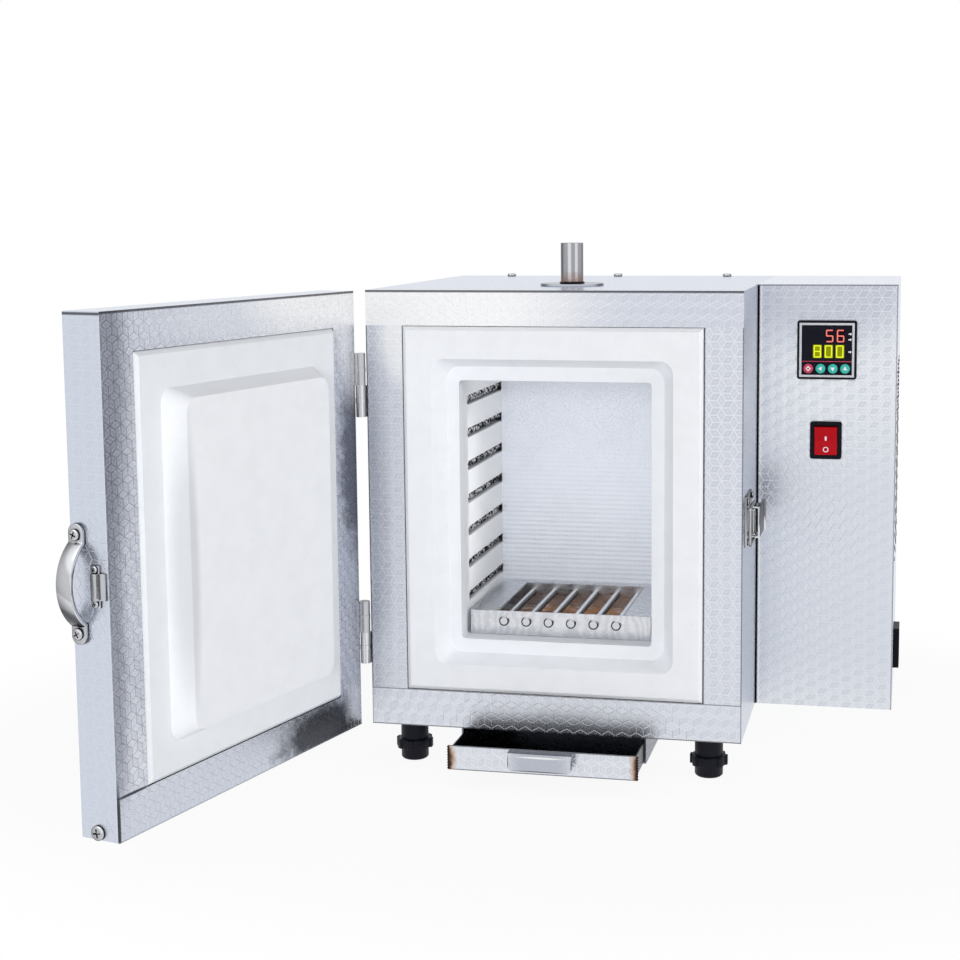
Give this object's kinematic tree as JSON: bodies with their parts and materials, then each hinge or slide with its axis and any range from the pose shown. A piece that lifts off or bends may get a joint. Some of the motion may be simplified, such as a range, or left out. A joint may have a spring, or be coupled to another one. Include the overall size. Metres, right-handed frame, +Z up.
{
  "type": "burnout furnace",
  "caption": "Bench burnout furnace: steel cabinet with a fibre-lined chamber, side-hung door, rack, wax drawer, flue and control box on levelling feet.",
  "frame": {"origin": "on the surface the feet stand on, under the middle of the cabinet's front face", "axes": "+Z up, +Y from the front of the cabinet to its rear, +X to the right as seen from the front"},
  "size_m": [0.5329, 0.6134, 0.4225],
  "materials": {
    "embossed_steel": "bright sheet with a fine embossed pattern",
    "polished_steel": "polished sheet",
    "plain_steel": "plain folded sheet",
    "bright_fittings": "nickel-plated",
    "fibre_board": "matt vacuum-formed fibre",
    "wool": "loose mineral wool",
    "heater_wire": "oxidised wire",
    "porcelain": "glazed",
    "rack_steel": "brushed, blued by heat",
    "drawer_steel": "heat-stained inside",
    "foot_metal": "plated, dulled",
    "black_plastic": "fine-grained",
    "window_plastic": "glossy",
    "red_plastic": "translucent red",
    "set_button": "moulded",
    "arrow_button": "moulded",
    "heat_sink": "extruded",
    "brass": "bright"
  },
  "bodies": {
    "cabinet": {"cabinet_shell": "embossed_steel", "front_strip_top": "embossed_steel", "front_strip_bottom": "embossed_steel", "front_strips_side": "embossed_steel", "base_plate": "plain_steel", "rear_cover": "embossed_steel", "roof_screws": "bright_fittings", "front_collar": "fibre_board", "muffle_side_walls": "fibre_board", "muffle_roof": "fibre_board", "muffle_floor": "fibre_board", "muffle_back": "fibre_board", "wool_blanket": "wool", "heater_wires": "heater_wire", "heater_terminals": "porcelain", "thermocouple": "porcelain", "drain_tube": "plain_steel", "flue_tube": "polished_steel", "flue_flange": "polished_steel", "drawer_channel": "plain_steel", "foot_sleeves": "foot_metal", "hinge_cabinet_leaves": "bright_fittings", "hinge_pins": "bright_fittings", "latch_base": "bright_fittings", "latch_fasteners": "bright_fittings", "control_case": "embossed_steel", "control_side": "embossed_steel", "control_panel": "embossed_steel", "controller_housing": "black_plastic", "controller_window": "window_plastic", "switch_housing": "black_plastic", "power_inlet": "black_plastic", "inlet_blades": "brass", "relay_heat_sink": "heat_sink", "solid_state_relay": "black_plastic", "terminal_block": "black_plastic"},
    "door": {"door_shell": "embossed_steel", "door_strips": "embossed_steel", "door_board": "fibre_board", "door_plug": "fibre_board", "door_wool": "wool", "door_handle": "bright_fittings", "door_edge_screws": "bright_fittings", "catch_plate": "bright_fittings", "hinge_door_leaves": "bright_fittings"},
    "drawer": {"drawer_tray": "drawer_steel", "drawer_front": "drawer_steel"},
    "rack": {"rack_frame": "rack_steel", "rack_bars": "rack_steel"},
    "latch_lever": {"latch_lever": "bright_fittings"},
    "latch_bail": {"latch_bail": "bright_fittings"},
    "rocker": {"switch_rocker": "red_plastic"},
    "button_set": {"button_set": "set_button"},
    "button_left": {"button_left": "arrow_button"},
    "button_down": {"button_down": "arrow_button"},
    "button_up": {"button_up": "arrow_button"},
    "foot_front_left": {"foot_front_left": "foot_metal"},
    "foot_front_right": {"foot_front_right": "foot_metal"},
    "foot_rear_left": {"foot_rear_left": "foot_metal"},
    "foot_rear_right": {"foot_rear_right": "foot_metal"}
  },
  "joints": [
    {"name": "door_hinge", "type": "hinge", "parent": "cabinet", "child": "door", "pos_m": [-0.1543, -0.0025, 0.211], "axis": [0, 0, 1], "range_deg": [-76, 104]},
    {"name": "drawer_slide", "type": "slide", "parent": "cabinet", "child": "drawer", "axis": [0, 1, 0], "range_m": [-0.09, 0.042]},
    {"name": "rack_slide", "type": "slide", "parent": "cabinet", "child": "rack", "axis": [0, 1, 0], "range_m": [-0.13, 0]},
    {"name": "latch_lever_hinge", "type": "hinge", "parent": "cabinet", "child": "latch_lever", "pos_m": [0.156, 0.024, 0.2065], "axis": [0, 0, -1], "range_deg": [0, 110]},
    {"name": "latch_bail_hinge", "type": "hinge", "parent": "latch_lever", "child": "latch_bail", "pos_m": [0.156, 0.036, 0.2065], "axis": [0, 0, -1], "range_deg": [-110, 0]},
    {"name": "rocker_hinge", "type": "hinge", "parent": "cabinet", "child": "rocker", "pos_m": [0.2065, 0.117, 0.2597], "axis": [1, 0, 0], "range_deg": [-16, 0]},
    {"name": "button_set_travel", "type": "slide", "parent": "cabinet", "child": "button_set", "axis": [0, 1, 0], "range_m": [0, 0.0006], "stiffness_N_per_m": 300, "springref_m": -0.0005},
    {"name": "button_left_travel", "type": "slide", "parent": "cabinet", "child": "button_left", "axis": [0, 1, 0], "range_m": [0, 0.0006], "stiffness_N_per_m": 300, "springref_m": -0.0005},
    {"name": "button_down_travel", "type": "slide", "parent": "cabinet", "child": "button_down", "axis": [0, 1, 0], "range_m": [0, 0.0006], "stiffness_N_per_m": 300, "springref_m": -0.0005},
    {"name": "button_up_travel", "type": "slide", "parent": "cabinet", "child": "button_up", "axis": [0, 1, 0], "range_m": [0, 0.0006], "stiffness_N_per_m": 300, "springref_m": -0.0005},
    {"name": "foot_front_left_screw", "type": "slide", "parent": "cabinet", "child": "foot_front_left", "axis": [0, 0, -1], "range_m": [0, 0.008]},
    {"name": "foot_front_right_screw", "type": "slide", "parent": "cabinet", "child": "foot_front_right", "axis": [0, 0, -1], "range_m": [0, 0.008]},
    {"name": "foot_rear_left_screw", "type": "slide", "parent": "cabinet", "child": "foot_rear_left", "axis": [0, 0, -1], "range_m": [0, 0.008]},
    {"name": "foot_rear_right_screw", "type": "slide", "parent": "cabinet", "child": "foot_rear_right", "axis": [0, 0, -1], "range_m": [0, 0.008]}
  ],
  "couplings": [
    {"joint": "latch_bail_hinge", "follows": "latch_lever_hinge", "ratio": -1}
  ]
}
